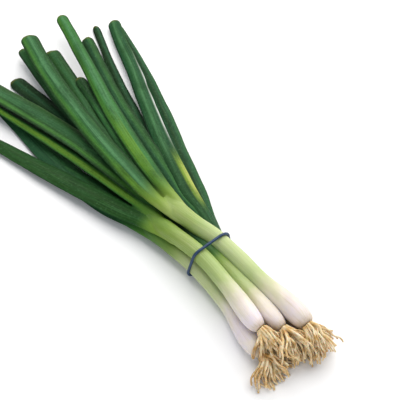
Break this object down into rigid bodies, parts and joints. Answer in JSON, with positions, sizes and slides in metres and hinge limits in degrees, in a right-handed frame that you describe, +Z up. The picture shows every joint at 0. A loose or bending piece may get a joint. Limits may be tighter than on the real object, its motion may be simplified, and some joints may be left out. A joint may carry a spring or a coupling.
{
  "type": "spring onion bunch",
  "caption": "Bunch of spring onions with white bulbs, root tufts and trimmed green leaves, tied with a rubber band, lying down.",
  "frame": {"origin": "on the surface the bunch lies on, under the middle of its bounding box", "axes": "+Y along the bunch from the roots to the leaf tips, +Z up from the surface, +X across the bunch to the side of the right-hand leaves"},
  "size_m": [0.1558, 0.3514, 0.0292],
  "materials": {
    "shank": "moist white bulb and pale green shank, soft satin sheen",
    "leaf": "waxy blue-green leaf with fine lengthwise veins, satin",
    "root": "dry straw-coloured root threads, matte",
    "band": "dark blue rubber, dull satin"
  },
  "bodies": {
    "root": {"onion_right_shank": "shank", "onion_right_leaf_1": "leaf", "onion_right_leaf_2": "leaf", "onion_right_leaf_3": "leaf", "onion_right_roots": "root", "onion_middle_shank": "shank", "onion_middle_leaf_1": "leaf", "onion_middle_leaf_2": "leaf", "onion_middle_roots": "root", "onion_inner_shank": "shank", "onion_inner_leaf_1": "leaf", "onion_inner_leaf_2": "leaf", "onion_inner_leaf_3": "leaf", "onion_inner_roots": "root", "onion_left_shank": "shank", "onion_left_leaf_1": "leaf", "onion_left_leaf_2": "leaf", "onion_left_roots": "root", "onion_under_left_shank": "shank", "onion_under_left_leaf_1": "leaf", "onion_under_left_leaf_2": "leaf", "onion_under_left_roots": "root", "onion_under_right_shank": "shank", "onion_under_right_leaf_1": "leaf", "onion_under_right_leaf_2": "leaf", "onion_under_right_leaf_3": "leaf", "onion_under_right_leaf_4": "leaf", "onion_under_right_roots": "root", "rubber_band": "band"}
  },
  "joints": []
}
